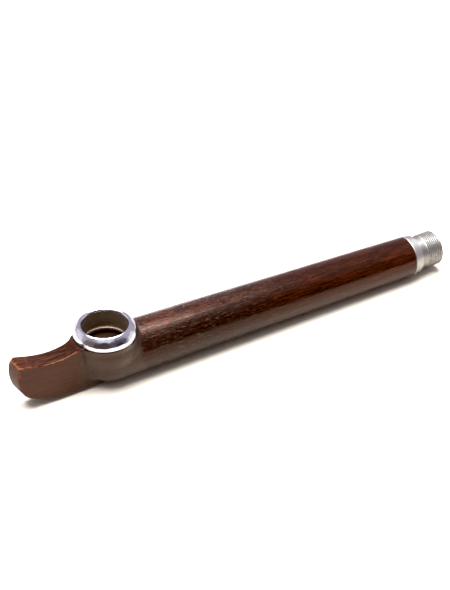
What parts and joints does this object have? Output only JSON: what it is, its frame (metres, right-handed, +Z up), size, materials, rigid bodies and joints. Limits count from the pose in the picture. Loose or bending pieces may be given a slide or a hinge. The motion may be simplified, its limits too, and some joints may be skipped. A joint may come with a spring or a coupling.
{
  "type": "wooden pipe body",
  "caption": "Hand-sized hardwood pipe body: flat-sided tongue, upright cup with a domed metal rim ring, tapered shank and a stepped, threaded metal tenon.",
  "frame": {"origin": "on the table under the middle of the pipe's length and width, ring side up", "axes": "+X along the pipe from the tongue to the tenon, +Y across it, +Z up through the mouth of the cup"},
  "size_m": [0.241, 0.031, 0.0323],
  "materials": {
    "wood_body": "oiled dark hardwood, satin",
    "rim_ring": "polished",
    "cup_liner": "dull, tarnished",
    "end_collar": "machined",
    "threaded_tenon": "machined"
  },
  "bodies": {
    "root": {"wood_body": "wood_body", "rim_ring": "rim_ring", "cup_liner": "cup_liner", "end_collar": "end_collar", "threaded_tenon": "threaded_tenon"}
  },
  "joints": []
}
